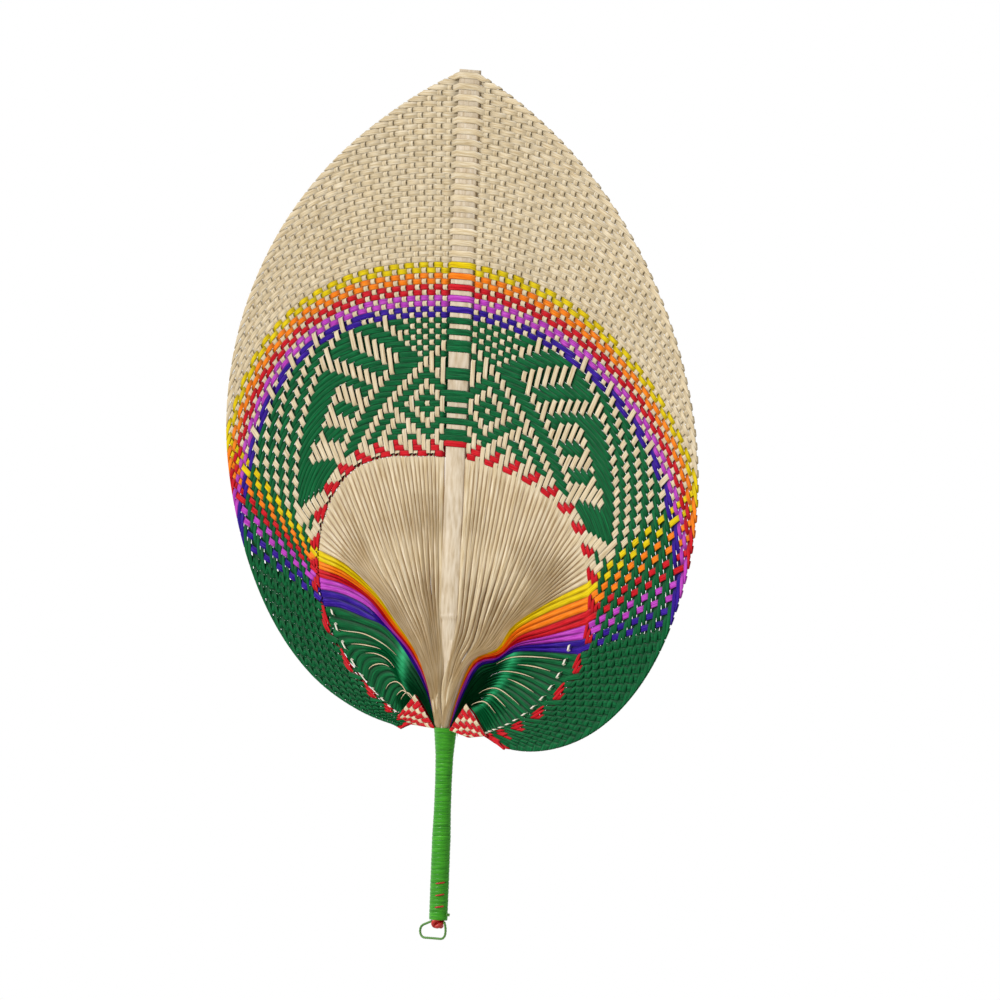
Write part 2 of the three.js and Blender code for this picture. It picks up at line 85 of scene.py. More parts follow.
# The slat's width at shares of the blade's reach, and the handle's girth from its lower end up
SLAT_SHARES = [[0.08, TANG_WIDTH / SLAT_WIDTH], [0.15, 0.77], [0.42, 0.88], [0.7, 1], [1, 0.93]]
FINGER_SHARES = [0.98, 1, 1, 1, 0.92, 0.9, 0.96, 1.24]

# The hanging cord's route: across the fan, and up from the handle's lower end
LOOP_ROUTE = [
    (-4.0, -0.7), (-5.34, -1.17), (-6.68, -1.63), (-8.01, -2.1), (-9.35, -2.56), (-10.67, -3.49),
    (-11.28, -4.97), (-11.01, -6.56), (-9.95, -7.75), (-8.4, -8.2), (-6.8, -8.2), (-5.1, -8.2),
    (-3.3, -8.2), (-1.5, -8.2), (0.3, -8.2), (2.0, -8.2), (3.45, -7.81), (4.51, -6.75),
    (4.9, -5.3), (4.88, -3.8), (4.55, -2.25), (3.9, -0.7),
]

# The weave. Its middle lies a little in front of the slat's middle
STRIP_THICKNESS = 0.34
WEAVE_DEPTH = -0.45
# How far a strip moves from the middle as it passes over or under another, how much of that is
# still to come near the crossing's ends, and where those places are
CROSSING_HALF = 0.4
CROSSING_EASE = 0.3
CROSSING_PLACES = (0.22, 0.78)
SLAT_CROSSING = 1.08
# Widths as shares of the room that a strip has, and the widest that a radial gets
ARC_FILL = 1.03
SLAT_EDGE_FILL = 0.14
RADIAL_FILL = 0.92
RADIAL_WIDTH = 2.8
LOBE_RADIAL_FILL = 1.08
LOBE_RADIAL_WIDTH = 4
# How far the folds stay inside the blade's edge, and how far they bulge out
FOLD_INSET = 0.3
FOLD_BULGE = 0.22
# The innermost row of the red ring, and its width
INNER_RING = -1
INNER_RING_PITCH = 2.5

# Inner runs of the strips from the ring to the neck, as given curves: across the fan from its
# middle and up from the neck point, each under the angle at which it leaves the ring
GUIDES = {
    "left": {
        1: [(8, 112), (7, 81), (6.2, 54), (5.2, 40), (2.8, 27), (1.6, 12), (1, -8)],
        18: [(42, 110), (30, 79), (21, 54), (14, 41), (9, 28), (4, 11), (1, -8)],
        33: [(70, 101), (48, 65), (34, 49), (24, 37), (15, 27), (6, 11), (1, -8)],
        49: [(86, 70), (66, 62), (45, 50), (32, 39), (19, 27), (10, 13), (2, -8)],
        55: [(85, 56), (68, 52), (52, 47), (37, 36), (23, 26), (12, 12), (3, -8)],
        60: [(81, 43), (70, 42), (55, 39), (40, 36), (27, 26), (13, 11), (3, -8)],
        63: [(76, 35), (66, 34), (52, 33), (39, 29), (28, 22), (14, 8), (3, -8)],
        68: [(69, 25), (61, 27), (49, 27), (39, 25), (29, 17), (15, 7), (3, -8)],
        74: [(59, 16), (53, 21), (44, 23), (35, 20), (28, 14), (16, 5), (3, -8)],
        79: [(48, 8), (42, 14), (36, 16), (30, 14), (25, 9), (16, 3), (3, -8)],
        86: [(36, 2), (32, 8), (28, 10), (25, 9), (21, 6), (14, 1), (3, -8)],
        94: [(31, -2), (28, 4), (25, 8), (22, 8), (19, 6), (13, 1), (3, -8)],
        109: [(21, -5), (20, 2), (19, 7), (18, 7), (15, 4), (11, 0), (3, -8)],
    },
    "right": {
        1: [(8, 112), (7, 81), (6.2, 54), (5.2, 40), (2.8, 27), (1.6, 12), (1, -8)],
        19: [(42, 105), (32, 70), (23, 45), (18, 32), (10, 22), (5, 10), (1, -8)],
        39: [(76, 87), (56, 62), (39, 44), (27, 32), (15, 25), (7, 13), (2, -8)],
        54: [(88, 60), (63, 51), (42, 41), (33, 31), (17, 25), (9, 11), (2, -8)],
        60: [(89, 48), (64, 40), (45, 35), (34, 28), (19, 24), (9, 10), (3, -8)],
        68: [(85, 33), (61, 31), (43, 30), (31, 25), (20, 22), (11, 9), (3, -8)],
        71: [(80, 25), (59, 27), (42, 26), (32, 23), (21, 19), (11, 8), (3, -8)],
        76: [(73, 16), (54, 21), (39, 22), (29, 20), (21, 15), (12, 6), (3, -8)],
        82: [(62, 8), (48, 14), (36, 17), (27, 15), (20, 11), (12, 5), (3, -8)],
        89: [(49, 1), (39, 7), (31, 11), (23, 10), (19, 7), (12, 3), (3, -8)],
        99: [(35, -5), (29, 1), (24, 5), (20, 5), (16, 4), (11, 1), (3, -8)],
        109: [(26, -6), (21, -1), (17, 3), (14, 5), (12, 4), (9, 0), (3, -8)],
    },
}

# Degrees that a radial turns towards the spine between its fold and the ring, from the innermost
# strip to the outermost
RING_TURNS = [0, 1.5, 3, 3, 1, 0, 0, 0, 0]

# The woven corner beside the neck: across the fan and up from the neck point, from its top round
# by the lobe and the lower edge to the handle
CORNERS = {
    "left": [(-17.8, 8), (-28, -2), (-20, -5.2), (-4, -6.2)],
    "right": [(15.2, 5.8), (29, -7.6), (17.5, -9), (5, -6.4)],
}
CORNER_STRIPS = 6
CORNER_DEPTH = -2.4
CORNER_FILL = 0.96

# Base, shade, light, the painted shade deep between the pleats and, for some, the colour at sharp bends,
# partly a paler underside and partly painted highlight
COLOURS = {
    "natural": ((221, 200, 161), (187, 160, 116), (246, 233, 208), (128, 88, 42)),
    "spine": ((214, 195, 166), (186, 161, 124), (234, 219, 196), (170, 140, 95)),
    "yellow": ((230, 200, 0), (190, 150, 0), (250, 225, 40), (140, 110, 0)),
    "orange": ((255, 130, 10), (215, 95, 5), (255, 160, 60), (150, 65, 5)),
    "red": ((205, 15, 30), (150, 8, 20), (228, 50, 60), (95, 5, 12)),
    "magenta": ((190, 60, 190), (140, 35, 145), (215, 110, 215), (95, 20, 95)),
    "violet": ((45, 10, 140), (28, 5, 95), (85, 50, 175), (20, 4, 60)),
    "green": ((0, 90, 46), (0, 56, 29), (14, 120, 66), (0, 26, 12), (60, 195, 130)),
    "winding": ((48, 148, 10), (26, 108, 4), (84, 190, 36), (20, 80, 5)),
    "bead": ((190, 20, 20), (135, 8, 10), (225, 60, 50), (90, 5, 5)),
    "tail": ((150, 175, 50), (110, 140, 30), (190, 205, 100), (80, 100, 20)),
    "cord": ((75, 138, 45), (45, 100, 25), (140, 175, 105), (20, 50, 10)),
}


def linear(colour):
    def channel(value):
        value /= 255
        return value / 12.92 if value <= 0.04045 else ((value + 0.055) / 1.055) ** 2.4

    return tuple(channel(v) for v in colour) + (1,)


# Curves and tables


def mix(a, b, f):
    return a + (b - a) * f


def smooth(table, place):
    """Smooth value at a place from 0 to 1 in a table of evenly spaced entries."""
    last = len(table) - 1
    at = min(max(place, 0), 1) * last
    i = min(int(at), last - 1)
    before = table[max(i - 1, 0)]
    after = table[min(i + 2, last)]
    start_slope = (table[i + 1] - before) / (2 if i > 0 else 1)
    end_slope = (after - table[i]) / (2 if i + 2 <= last else 1)
    f = at - i
    rise = table[i + 1] - table[i]
    curve = start_slope * (1 - f) ** 2 * f - end_slope * (1 - f) * f**2
    return table[i] + rise * f * f * (3 - 2 * f) + curve


def between(rows, place):
    """Straight-line value at a place in rows of [place, value]."""
    places, values = zip(*rows)
    return float(np.interp(place, places, values))


def run_lengths(points):
    """How far along a line each of its points lies."""
    return np.concatenate([[0], np.cumsum(np.linalg.norm(np.diff(points, axis=0), axis=1))])


def edge_reach(side, degrees):
    return BLADE_REACH * smooth(EDGE_SHARES[side], degrees / TABLE_SPAN)


def ring_reach(side, degrees):
    return RING_REACH * smooth(RING_SHARES[side], degrees / TABLE_SPAN)


def fold_angle(side, strip):
    return TABLE_SPAN * smooth(FOLD_SHARES[side], strip / STRIP_COUNT)


def fold_table(side):
    strips = np.linspace(0, STRIP_COUNT, STRIP_COUNT * 8 + 1)
    angles = np.array([fold_angle(side, strip) for strip in strips])
    return angles[::-1], strips[::-1]


FOLDS = {side: fold_table(side) for side in SIDES}


def strip_angle(side, strip, arc):
    """Where the edge of a radial strip crosses an arc: it bends a little towards the ring."""
    share = min(max(arc / strip, 0), 1) if strip > 0 else 1
    return fold_angle(side, strip) - smooth(RING_TURNS, strip / STRIP_COUNT) * (1 - share)


def strip_reach(side, degrees, strip):
    """How far out a strip's edge runs at an angle. Past its fold it follows the blade's edge."""
    if strip < 0:
        return ring_reach(side, degrees) + strip * INNER_RING_PITCH
    count = float(np.interp(degrees, *FOLDS[side]))
    share = min(strip / count, 1) if count > 0 else 1
    return mix(ring_reach(side, degrees), edge_reach(side, degrees), share)


def blade_point(side, degrees, reach, aside=0, depth=0):
    """A place in one half of the blade, moved sideways towards the lower strips."""
    angle = math.radians(degrees)
    across = SPINE_OFFSET + reach * math.sin(angle) + aside * math.cos(angle)
    up = reach * math.cos(angle) - aside * math.sin(angle)
    return np.array([SIDES[side] * across, depth, NECK_Z + up])


def slat_half(height):
    return SLAT_WIDTH / 2 * between(SLAT_SHARES, height / BLADE_REACH)


def grip_half(height):
    rows = [[i / 7, share] for i, share in enumerate(FINGER_SHARES)]
    share = between(rows, (height - HANDLE_BOTTOM) / HANDLE_LENGTH)
    return HANDLE_WIDTH / 2 * share, HANDLE_DEPTH / 2 * share


# Over and under
# In the green field rows count inwards from its outer edge and columns from the spine. A
# crossing's rise is its row plus its column, and its slant is its row less its column

GREEN_TOP = 23
VIOLET_TOP = 25
VIOLET_FLANK = 12
SPINE_GREEN_OVER = [0, 2, 4, 5, 9, 10, 13, 14, 16, 18, 20, 21]
OUTER_RING = 1
# Of every four columns, those where each row of the red ring lies in front
RING_COLUMNS = {INNER_RING: (0, 1), 0: (1, 2), OUTER_RING: (2,)}

# The chequered triangle above the diamond, and the diamond's rings round its middle
CHEQUER_ROWS = 7
CHEQUER_COLUMNS = 6
DIAMOND_ROW, DIAMOND_COLUMN = 15, 3
DIAMOND_COLUMNS = 10
DIAMOND_REACH = 8
DIAMOND_RINGS = (0, 3, 4, 7, 8)
# Pale lines beside the diamond, and the line that divides the field
PALE_SLANTS = (4, 5, 8, 9, 12, 13)
DIVIDING_SLANTS = (-1, 0)
DIVIDING_FROM = 9
# Past this slant or rise the flank's even steps take over, two rows in every four
FLANK_SLANT = -15
FLANK_RISE = 51
STEPS = (3, 0)
# Groups of pale stripes: first and last rise, first and last column, lowest slant
STRIPE_GROUPS = [
    (9, 10, 7, 11, FLANK_SLANT),
    (14, 17, 7, 14, FLANK_SLANT),
    (21, 23, 12, STRIP_COUNT, FLANK_SLANT),
    (26, 29, 15, STRIP_COUNT, -9),
    (33, 35, 0, STRIP_COUNT, -9),
    (39, 42, 0, STRIP_COUNT, -11),
    (49, FLANK_RISE, 0, STRIP_COUNT, FLANK_SLANT),
]
# Short pale stripes that join the groups on the flank's side
JOINING_SLANTS = (-9, -8)
JOINING_COLUMNS = (19, 20, 21, 23, 24, 25)


def figure_shows_radial(row, column):
    """Whether a figure of the green field has the pale radial over the green strip here."""
    if (row, column) == (CHEQUER_ROWS, 0):
        return True
    if column <= CHEQUER_COLUMNS and (row + column) % 2 == 0:
        if row <= CHEQUER_ROWS - abs(column - DIAMOND_COLUMN):
            return True
    rings = abs(row - DIAMOND_ROW) + abs(column - DIAMOND_COLUMN)
    if column <= DIAMOND_COLUMNS and rings <= DIAMOND_REACH:
        return rings in DIAMOND_RINGS
    slant, rise = row - column, row + column
    if slant < FLANK_SLANT or rise > FLANK_RISE:
        return slant % 4 in STEPS
    if slant in PALE_SLANTS or (slant in DIVIDING_SLANTS and column >= DIVIDING_FROM):
        return True
    if slant in JOINING_SLANTS and column in JOINING_COLUMNS:
        return True
    for low, high, first, last, lowest in STRIPE_GROUPS:
        if low <= rise <= high and first <= column <= last and lowest <= slant < 0:
            return True
    return False


def arc_over(arc, radial):
    """Whether an arc passes in front of a radial. The slat counts as one more radial."""
    if arc in RING_COLUMNS:
        column = STRIP_COUNT - 1 - radial
        return column % 4 in RING_COLUMNS[arc] if column >= 0 else arc == OUTER_RING
    row = GREEN_TOP - arc
    if GREEN_TOP < arc <= VIOLET_TOP and radial < STRIP_COUNT - VIOLET_FLANK:
        return (row - (STRIP_COUNT - 1 - radial)) % 4 not in STEPS
    if arc <= GREEN_TOP:
        if radial == STRIP_COUNT:
            return row in SPINE_GREEN_OVER
        if radial > GREEN_TOP:
            return not figure_shows_radial(row, STRIP_COUNT - 1 - radial)
    return (arc + radial) % 2 == 1


# Ribbons

# Places round a strip's section: share of the half-width, share of the thickness
SECTION = [(1, 0), (0.74, 0.5), (0, 0.5), (-0.74, 0.5), (-1, 0), (-0.74, -0.5), (0, -0.5), (0.74, -0.5)]
SLAT_SECTION = [(1, 0.3), (0.93, 0.5), (0, 0.53), (-0.93, 0.5), (-1, 0.3),
                (-1, -0.3), (-0.93, -0.5), (0, -0.53), (0.93, -0.5), (1, -0.3)]


class Ribbon:
    """Sections of one strip from end to end: centre, half-width vector, facing, the height of
    the ridge that is folded along its middle, away from the facing side, and how much painted shade
    lies in its pleats' valleys, how much further painted shade it has, and how strongly a sharp bend
    is painted there, partly as a paler underside and partly as painted highlight."""

    def __init__(self):
        self.rows = []

    def add(self, centre, half, facing, ridge=0, pleat_shade=0, painted_shade=0, underside_and_highlight=0):
        row = [np.array(v, float) for v in (centre, half, facing)]
        self.rows.append((*row, ridge, pleat_shade, painted_shade, underside_and_highlight))


def arc_half_width(side, degrees, arc):
    pitch = strip_reach(side, degrees, arc + 1) - strip_reach(side, degrees, arc)
    return ARC_FILL * pitch / 2


def add_front_section(ribbon, side, degrees, reach, half, depth):
    centre = blade_point(side, degrees, reach, depth=depth)
    outer = blade_point(side, degrees, reach + half, depth=depth)
    ribbon.add(centre, outer - centre, (0, -1, 0))


def add_arc_section(ribbon, side, degrees, arc, depth):
    reach = strip_reach(side, degrees, arc + 0.5)
    aside = reach * math.sin(math.radians(degrees))
    widened = 1 + SLAT_EDGE_FILL * max(1 - aside / SLAT_WIDTH, 0)
    half = arc_half_width(side, degrees, arc) * widened
    add_front_section(ribbon, side, degrees, reach, half, depth)


def level(over):
    return WEAVE_DEPTH - CROSSING_HALF if over else WEAVE_DEPTH + CROSSING_HALF


def arc_sections(ribbon, side, arc):
    """From the slat's edge to the strip's own fold."""
    crossed = range(STRIP_COUNT - 1, arc, -1)
    levels = [SLAT_CROSSING * (-1 if arc_over(arc, STRIP_COUNT) else 1)]
    levels += [level(arc_over(arc, radial)) for radial in crossed] + [level(True)]
    for count, radial in enumerate(crossed):
        upper, lower = (strip_angle(side, radial + i, arc + 0.5) for i in (1, 0))
        before, depth, after = levels[count : count + 3]
        start, end = (before + depth) / 2, (depth + after) / 2
        soon, late = (mix(upper, lower, place) for place in CROSSING_PLACES)
        add_arc_section(ribbon, side, upper, arc, start)
        add_arc_section(ribbon, side, soon, arc, mix(depth, start, CROSSING_EASE))
        add_arc_section(ribbon, side, mix(upper, lower, 0.5), arc, depth)
        add_arc_section(ribbon, side, late, arc, mix(depth, end, CROSSING_EASE))
    add_arc_section(ribbon, side, fold_angle(side, arc + 1), arc, (levels[-2] + levels[-1]) / 2)


def radial_half_width(side, strip, reach):
    spread = math.radians(fold_angle(side, strip) - fold_angle(side, strip + 1))
    if strip <= GREEN_TOP:
        return min(LOBE_RADIAL_FILL * spread * reach, LOBE_RADIAL_WIDTH) / 2
    return min(RADIAL_FILL * spread * reach, RADIAL_WIDTH) / 2


def fold_sections(ribbon, side, strip):
    """The diagonal fold at the edge of the blade."""
    angle = fold_angle(side, strip + 0.5)
    reach = edge_reach(side, angle)
    half = radial_half_width(side, strip, reach)
    turn = math.degrees(half / reach)
    upper = blade_point(side, angle, edge_reach(side, angle - turn) - FOLD_INSET, -half)
    lower = blade_point(side, angle, edge_reach(side, angle + turn) - FOLD_INSET, half)
    centre = (upper + lower) / 2
    crease = (upper - lower) / 2
    out = np.array([crease[2], 0, -crease[0]]) * -SIDES[side]
    out /= np.linalg.norm(out)
    if np.dot(out, centre - np.array([0, 0, NECK_Z])) < 0:
        out = -out
    for depth, facing, push in ((-1, (0, -1, 0), 0), (0, out, FOLD_BULGE), (1, (0, 1, 0), 0)):
        y = np.array([0, WEAVE_DEPTH + depth * CROSSING_HALF, 0])
        ribbon.add(centre + y + out * push, crease, facing)


def add_radial_section(ribbon, side, strip, arc, depth):
    angle = strip_angle(side, strip + 0.5, arc)
    reach = strip_reach(side, angle, arc)
    half = radial_half_width(side, strip, reach)
    centre = blade_point(side, angle, reach, depth=depth)
    upper = blade_point(side, angle, reach, -half, depth)
    ribbon.add(centre, upper - centre, (0, 1, 0))


def radial_sections(ribbon, side, strip):
    """From the fold to the ring, over and under the arcs inside it."""
    last = level(False)
    for arc in range(strip - 1, INNER_RING - 1, -1):
        depth = level(not arc_over(arc, strip))
        if arc < strip - 1:
            add_radial_section(ribbon, side, strip, arc + 1, (last + depth) / 2)
        add_radial_section(ribbon, side, strip, arc + 0.75, mix(depth, (last + depth) / 2, CROSSING_EASE))
        add_radial_section(ribbon, side, strip, arc + 0.5, depth)
        last = depth


def guide_points(side, angle):
    """The inner run of a strip that leaves the ring at an angle, between the nearest guides."""
    angles = sorted(GUIDES[side])
    place = min(max(angle, angles[0]), angles[-1])
    after = next(i for i, a in enumerate(angles) if a >= place)
    before = max(after - 1, 0)
    a, b = angles[before], angles[after]
    f = (place - a) / (b - a) if b > a else 0
    low, high = np.array(GUIDES[side][a], float), np.array(GUIDES[side][b], float)
    points = mix(low, high, f)
    start = blade_point(side, angle, strip_reach(side, angle, INNER_RING - 0.2))
    points[0] = (abs(start[0]), start[2] - NECK_Z)
    return points


def spline(points, count):
    """Points evenly spread on a smooth curve through the given ones."""
    points = np.array(points, float)
    padded = np.vstack([2 * points[0] - points[1], points, 2 * points[-1] - points[-2]])
    fine = []
    for i in range(1, len(padded) - 2):
        p0, p1, p2, p3 = padded[i - 1 : i + 3]
        for f in np.linspace(0, 1, 12, endpoint=False):
            curve = (2 * p0 - 5 * p1 + 4 * p2 - p3) * f**2 + (3 * p1 - p0 - 3 * p2 + p3) * f**3
            fine.append((2 * p1 + (p2 - p0) * f + curve) / 2)
    fine.append(points[-1])
    fine = np.array(fine)
    lengths = run_lengths(fine)
    at = np.linspace(0, lengths[-1], count)
    return np.column_stack([np.interp(at, lengths, fine[:, i]) for i in range(fine.shape[1])])


INNER_STEPS = 30
RIDGE = 1.25
NATURAL_FIRST = 34
# The crowding starts at one share of the run, and the turn into the neck's layers at another
CROWDED_FROM = 0.25
NECK_FROM = 0.6
# Half-widths as shares of the room: at the ring, dyed, and undyed in front and behind
RING_WIDTH = 0.52
DYED_WIDTH = 0.56
FORWARD_WIDTHS = (0.5, 0.95)
BEHIND_WIDTH = 1.15
HALF_LIMITS = (0.35, 3.2)
MIDDLE_STRIP_WIDENED = 1.5
SWAY = 0.35
DYED_SWAY = 0.14
FORWARD_DEPTH = -0.55
BEHIND_DEPTH = 0.3
# Where along the run the green strips of a lobe bend, for the innermost and the outermost, how strongly
# the bend is painted, partly as a paler underside and partly as painted highlight, how far that spreads,
# and how much painted shade the strips get past it
BEND_SHARES = {"left": (0.56, 0.38), "right": (0.42, 0.36)}
LOBE_UNDERSIDE_AND_HIGHLIGHT = 0.75
BEND_SPREAD = 0.035
LOBE_SHADE = 0.75
LOBE_SHADE_UNTIL = 0.97
PALE_STRIPS = (8, 11, 13, 16, 18, 20, 22)
PALE_HALF = 0.26
PALE_DEPTH = -1.3
# Folded strips at the neck: route across the fan and up from the neck point, and half-width
NECK_FOLDS = [
    ([(5.5, 19), (4.2, 10), (3.2, 3), (2.3, -5)], 1.3),
    ([(2.2, 24), (1.2, 14), (0.7, 5), (0.5, -5)], 1.5),
    ([(-3.4, 12), (-2.8, 6), (-2, 1), (-1.2, -5)], 1.4),
    ([(-7, 9), (-5.2, 4), (-3.8, 0), (-2.6, -5)], 1.1),
]
NECK_FOLD_STEPS = 14
NECK_FOLD_DEPTH = -1.4
NECK_FOLD_SWELL = 1.3
NECK_FOLD_RIDGE = 0.8
# Painted shade in the valleys of the neck folds
NECK_FOLD_PLEAT_SHADE = 0.55
# Depths of the layers at the neck, and the least depth at which a strip's end is tucked in
NECK_LAYERS = 3
FRONT_LAYERS = (-0.9, -2.2)
BACK_LAYERS = (0, 1.5)
TUCKED_DEPTH = -0.6


def inner_runs(side):
    """Every strip's line from the ring to the neck, with the room that it has on each side."""
    runs = []
    for strip in range(STRIP_COUNT):
        runs.append(spline(guide_points(side, strip_angle(side, strip + 0.5, 0)), INNER_STEPS))
    runs = np.array(runs)
    ahead = np.gradient(runs, axis=1)
    ahead /= np.linalg.norm(ahead, axis=2, keepdims=True)
    apart = np.diff(runs, axis=0)
    gaps = np.abs(apart[..., 0] * ahead[:-1, :, 1] - apart[..., 1] * ahead[:-1, :, 0])
    room = np.maximum(np.vstack([gaps[:1], gaps]), np.vstack([gaps, gaps[-1:]]))
    return runs, ahead, room


RUNS = {side: inner_runs(side) for side in SIDES}


def run_place(side, strip, step, depth):
    """A place on a strip's inner run, with the direction across the strip and the room there."""
    (across, up), (aside, ahead), room = (table[strip][step] for table in RUNS[side])
    flat = np.cross((0, 1, 0), (SIDES[side] * aside, 0, ahead))
    return np.array([SIDES[side] * across, depth, NECK_Z + up]), flat, room


def neck_depth(strip):
    """At the neck the undyed strips lie in front of the others, each group in layers."""
    front, back = FRONT_LAYERS if strip >= NATURAL_FIRST else BACK_LAYERS
    return mix(front, back, strip % NECK_LAYERS / (NECK_LAYERS - 1))


def inner_sections(ribbon, side, strip):
    """From the ring to the neck. Each strip folds along its middle as they crowd together, and
    every other undyed one lies in front of its neighbours."""
    room = RUNS[side][2][strip]
    start_half = radial_half_width(side, strip, ring_reach(side, strip_angle(side, strip + 0.5, 0)))
    undyed = strip >= NATURAL_FIRST
    forward = undyed and strip % 2 == 0
    lobe = strip <= GREEN_TOP
    draw = random.Random(strip * 7 + len(side))
    reach = 0 if strip >= STRIP_COUNT - 2 else SWAY if undyed else DYED_SWAY
    sway = [draw.uniform(-reach, reach) for _ in range(5)]
    breadth = [draw.uniform(*FORWARD_WIDTHS) for _ in range(4)]
    turn = mix(*BEND_SHARES[side], 1 - strip / GREEN_TOP)
    least, most = HALF_LIMITS
    for i in range(INNER_STEPS):
        share = i / (INNER_STEPS - 1)
        crowded = min(max(share - CROWDED_FROM, 0) * 5, 1)
        near_neck = max(share - NECK_FROM, 0) / (1 - NECK_FROM)
        wide = smooth(breadth, share) if forward else BEHIND_WIDTH if undyed else DYED_WIDTH
        half = min(max(mix(RING_WIDTH, wide, crowded) * room[i], least), most)
        half = max(half, start_half * (1 - share * 20))
        deep = min(max(1 - half / (RADIAL_WIDTH / 2), 0) * 1.6 + 0.35, 1)
        ridge = RIDGE * deep * min(share * 8, 1)
        depth = mix(WEAVE_DEPTH + ridge / 2, neck_depth(strip), near_neck)
        depth += crowded * (FORWARD_DEPTH if forward else BEHIND_DEPTH if undyed else 0)
        if i == INNER_STEPS - 1:
            depth = max(depth, TUCKED_DEPTH)
        centre, flat, _ = run_place(side, strip, i, depth)
        centre += flat * room[i] * smooth(sway, share) * crowded
        # Paler underside and painted highlight at a lobe strip's bend, and painted shade past it
        underside_and_highlight = painted_shade = 0
        if lobe:
            underside_and_highlight = LOBE_UNDERSIDE_AND_HIGHLIGHT * math.exp(-(((share - turn) / BEND_SPREAD) ** 2))
            painted_shade = LOBE_SHADE * min(max(share - turn, 0) * 9, 1) * min(max(LOBE_SHADE_UNTIL - share, 0) * 5, 1)
        if strip == STRIP_COUNT - 1:
            half *= MIDDLE_STRIP_WIDENED
        # Painted shade deep in the pleats' valleys, less near the neck for undyed strips
        pleat_shade = min(share * 20 + 0.3, 1) * (1 - 0.8 * near_neck * undyed)
        ribbon.add(centre, flat * half, (0, 1, 0), ridge, pleat_shade, painted_shade, underside_and_highlight)


def pale_lines(side):
    """Narrow pale strips, in the undyed colour, that show between the green strips of a lobe."""
    ribbons = []
    draw = random.Random(11)
    for strip in PALE_STRIPS:
        start, end = draw.randint(2, 5), draw.randint(9, 16)
        ribbon = Ribbon()
        for i in range(start, end + 1):
            fade = math.sin(math.pi * (i - start + 0.4) / (end - start + 0.8))
            middle, flat, room = run_place(side, strip, i, PALE_DEPTH)
            middle += flat * room / 2
            ribbon.add(middle, flat * PALE_HALF * fade, (0, -1, 0))
        ribbons.append(ribbon)
    return ribbons


def corner_strips(side):
    """Short crossed strips, red and then undyed, that close the corner between lobe and neck."""
    top, lobe, low, neck = (np.array((x, CORNER_DEPTH, NECK_Z + z)) for x, z in CORNERS[side])
    families = []
    for family, ends in enumerate((((top, neck), (lobe, low)), ((top, lobe), (neck, low)))):
        ribbons = []
        for count in range(CORNER_STRIPS):
            first, last = (mix(*pair, (count + 0.5) / CORNER_STRIPS) for pair in ends)
            near, far = (mix(*pair, (count + 1) / CORNER_STRIPS) for pair in ends)
            ribbon = Ribbon()
            for step in range(2 * CORNER_STRIPS + 1):
                depth = 0
                if step % 2:
                    red_over = (step // 2 + count) % 3 != 0
                    depth = -CROSSING_HALF if red_over == (family == 0) else CROSSING_HALF
                share = step / (2 * CORNER_STRIPS)
                centre = mix(first, last, share)
                half = (mix(near, far, share) - centre) * CORNER_FILL
                ribbon.add(centre + np.array((0, depth, 0)), half, (0, -1, 0))
            ribbons.append(ribbon)
        families.append(ribbons)
    return families


def neck_folds():
    """Wide undyed strips folded lengthwise, in front where all the strips go into the winding."""
    ribbons = []
    for line, half in NECK_FOLDS:
        ribbon = Ribbon()
        places = spline(line, NECK_FOLD_STEPS)
        last = NECK_FOLD_STEPS - 1
        for i, (across, up) in enumerate(places):
            taper = min(0.25 + i / 5, 1, (15 - i) / 4)
            ahead = places[min(i + 1, last)] - places[max(i - 1, 0)]
            flat = np.cross((0, 1, 0), (ahead[0], 0, ahead[1]))
            flat *= half * taper / np.linalg.norm(flat)
            depth = NECK_FOLD_DEPTH - NECK_FOLD_SWELL * math.sin(math.pi * min(i / 11, 1))
            ridge = NECK_FOLD_RIDGE * taper
            ribbon.add((across, depth, NECK_Z + up), flat, (0, 1, 0), ridge, NECK_FOLD_PLEAT_SHADE)
        ribbons.append(ribbon)
    return ribbons


def half_strip(side, strip):
    ribbon = Ribbon()
    arc_sections(ribbon, side, strip)
    if strip > INNER_RING:
        fold_sections(ribbon, side, strip)
        radial_sections(ribbon, side, strip)
        inner_sections(ribbon, side, strip)
    return ribbon.rows


def whole_strip(strip):
    """A strip from the neck up the left half, across the slat and down the right half."""
    ribbon = Ribbon()
    depth = SLAT_CROSSING * (-1 if arc_over(strip, STRIP_COUNT) else 1)
    reach = strip_reach("left", 0, strip + 0.5)
    half = arc_half_width("right", 0, strip) * (1 + SLAT_EDGE_FILL)
    edge = slat_half(reach) - 1
    ribbon.rows += half_strip("left", strip)[::-1]
    for across in (-edge, 0, edge):
        ribbon.add((across, depth, NECK_Z + reach), (0, 0, half), (0, -1, 0))
    ribbon.rows += half_strip("right", strip)
    return ribbon


def mesh_object(name, points, faces, marks, shares=None):
    """A mesh in metres, with its places along and across each strip and the strip's number."""
    mesh = bpy.data.meshes.new(name)
    mesh.from_pydata([tuple(p) for p in points * MM], [], faces)
    layer = mesh.attributes.new("strip", "FLOAT_VECTOR", "POINT")
    layer.data.foreach_set("vector", marks.astype(np.float32).ravel())
    for label, values in (shares or {}).items():
        layer = mesh.attributes.new(label, "FLOAT", "POINT")
        layer.data.foreach_set("value", values.astype(np.float32).ravel())
    mesh.validate()
    mesh.shade_smooth()
    mesh.set_sharp_from_angle(angle=math.radians(50))
    piece = bpy.data.objects.new(name, mesh)
    bpy.context.scene.collection.objects.link(piece)
    return piece


def finish(piece, material, body, slot, *nodes):
    piece.data.materials.append(material)
    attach(piece, body)
    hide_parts(*nodes)


